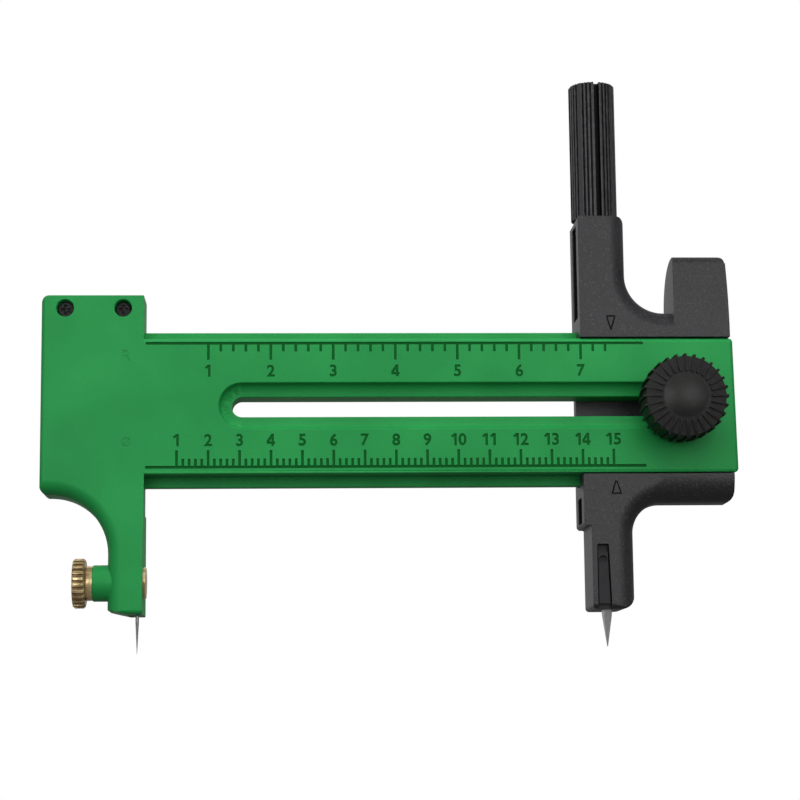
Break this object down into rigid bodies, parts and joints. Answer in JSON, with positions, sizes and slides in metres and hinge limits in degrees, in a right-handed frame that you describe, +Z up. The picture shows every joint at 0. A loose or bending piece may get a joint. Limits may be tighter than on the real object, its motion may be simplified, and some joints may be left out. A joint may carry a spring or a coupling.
{
  "type": "compass cutter",
  "caption": "Compass cutter: slotted scale beam with a clamped pivot needle and a sliding carriage that holds a blade, a fluted turning grip and a clamp knob.",
  "frame": {"origin": "tip of the pivot needle", "axes": "+X along the beam from the needle to the blade, +Y from the scale face to the back, +Z up from the needle tip to the beam"},
  "size_m": [0.1115, 0.0204, 0.0938],
  "materials": {
    "green_plastic": "satin moulded",
    "black_plastic": "fine grained",
    "knob_plastic": "satin moulded",
    "brass": "turned, bright",
    "steel": "ground",
    "black_steel": "blackened"
  },
  "bodies": {
    "frame": {"beam_body": "green_plastic", "head_cover": "green_plastic", "cover_screws": "black_steel", "pivot_needle": "steel", "needle_bolt": "brass", "clamp_bush": "brass"},
    "nut": {"clamp_nut": "brass"},
    "slide": {"slide_carriage": "black_plastic", "clamp_bolt": "steel", "knob_washer": "steel", "grip_washer": "steel"},
    "knob": {"knob": "knob_plastic", "knob_insert": "brass"},
    "grip": {"grip": "black_plastic", "grip_screw": "steel"},
    "holder": {"blade_holder": "black_plastic", "blade": "steel", "blade_peg": "steel"}
  },
  "joints": [
    {"name": "slide_travel", "type": "slide", "parent": "frame", "child": "slide", "axis": [-1, 0, 0], "range_m": [0, 0.07]},
    {"name": "knob_turn", "type": "hinge", "parent": "slide", "child": "knob", "pos_m": [0.0866, -0.0043, 0.0392], "axis": [0, -1, 0], "range_deg": [0, 360]},
    {"name": "nut_turn", "type": "hinge", "parent": "frame", "child": "nut", "pos_m": [-0.0085, 0, 0.0112], "axis": [-1, 0, 0], "range_deg": [0, 360]},
    {"name": "grip_turn", "type": "hinge", "parent": "slide", "child": "grip", "pos_m": [0.07485, 0.0025, 0.0705], "axis": [0, 0, 1], "continuous": true},
    {"name": "holder_draw", "type": "slide", "parent": "slide", "child": "holder", "axis": [0, 0, -1], "range_m": [0, 0.014]}
  ]
}
